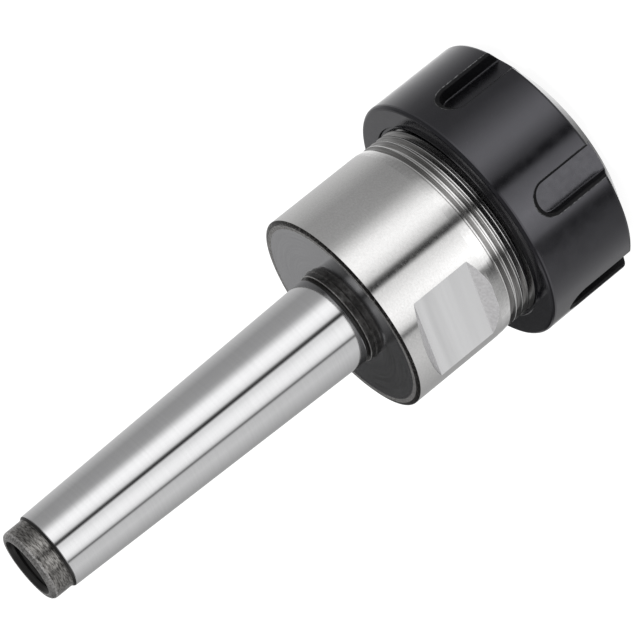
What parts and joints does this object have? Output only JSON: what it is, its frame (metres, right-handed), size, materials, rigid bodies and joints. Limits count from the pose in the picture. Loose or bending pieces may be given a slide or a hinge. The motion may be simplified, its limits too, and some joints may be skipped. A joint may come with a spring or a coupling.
{
  "type": "collet chuck holder",
  "caption": "Collet chuck with a Morse taper shank, a round slotted clamping nut and a spring collet that closes on a tool's shank.",
  "frame": {"origin": "centre of the clamping nut's front face, which the holder stands on", "axes": "+Z along the chuck's axis from the nut's face towards the end of the shank; the two spanner flats face -Y and +Y"},
  "size_m": [0.05, 0.05, 0.1204],
  "materials": {
    "ground_steel": "ground and polished, with fine lines around the axis",
    "black_oxide": "satin black oxide",
    "spring_steel": "fine ground"
  },
  "bodies": {
    "clamp_nut": {"clamp_nut": "black_oxide"},
    "collet": {"collet": "spring_steel"},
    "chuck_body": {"chuck_body": "ground_steel"}
  },
  "joints": [
    {"name": "nut_turn", "type": "hinge", "parent": "clamp_nut", "child": "collet", "pos_m": [0, 0, 0], "axis": [0, 0, 1], "range_deg": [0, 2520]},
    {"name": "body_travel", "type": "slide", "parent": "collet", "child": "chuck_body", "axis": [0, 0, 1], "range_m": [0, 0.0106]}
  ],
  "couplings": [
    {"joint": "body_travel", "follows": "nut_turn", "m_per_rad": 0.00023873}
  ]
}
